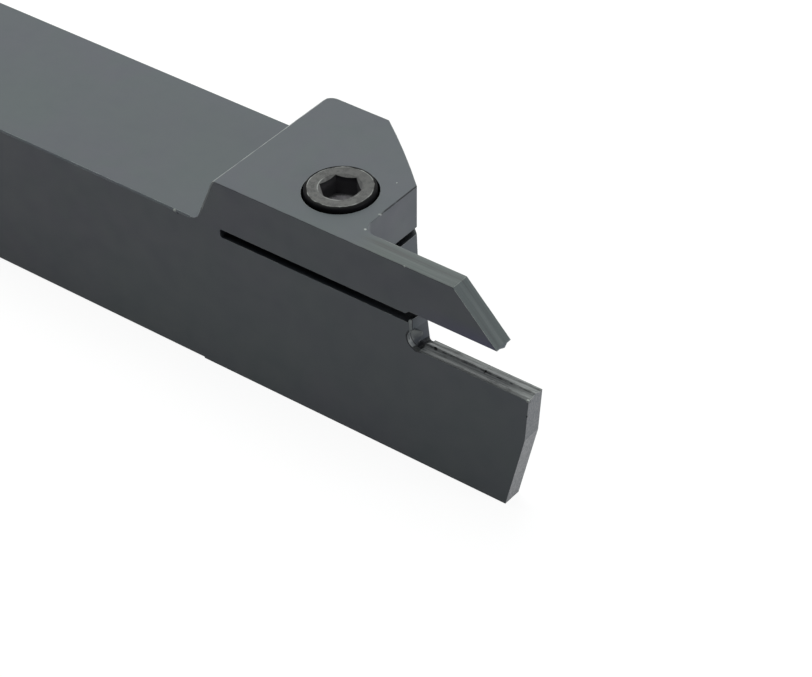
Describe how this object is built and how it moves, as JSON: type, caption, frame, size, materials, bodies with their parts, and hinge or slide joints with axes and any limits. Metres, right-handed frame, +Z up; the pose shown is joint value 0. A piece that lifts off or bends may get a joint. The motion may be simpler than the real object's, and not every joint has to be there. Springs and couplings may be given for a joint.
{
  "type": "turning tool holder",
  "caption": "Square shank lathe tool holder for grooving and parting off, with a thin blade and a slit head whose jaw is pulled down by a cap screw.",
  "frame": {"origin": "middle of the holder's underside, below the middle of its length and width", "axes": "+X along the shank towards the blade tip, +Y across the tool away from the blade side, +Z up from the shank's underside"},
  "size_m": [0.15, 0.025, 0.0337],
  "materials": {
    "holder_steel": "blued steel with a satin sheen",
    "screw_steel": "black oxide, mottled"
  },
  "bodies": {
    "holder": {"holder_body": "holder_steel"},
    "screw": {"clamp_screw": "screw_steel"}
  },
  "joints": [
    {"name": "clamp_screw_turn", "type": "hinge", "parent": "holder", "child": "screw", "pos_m": [0.03805, -0.0043, 0.0337], "axis": [0, 0, 1], "range_deg": [0, 450]}
  ]
}
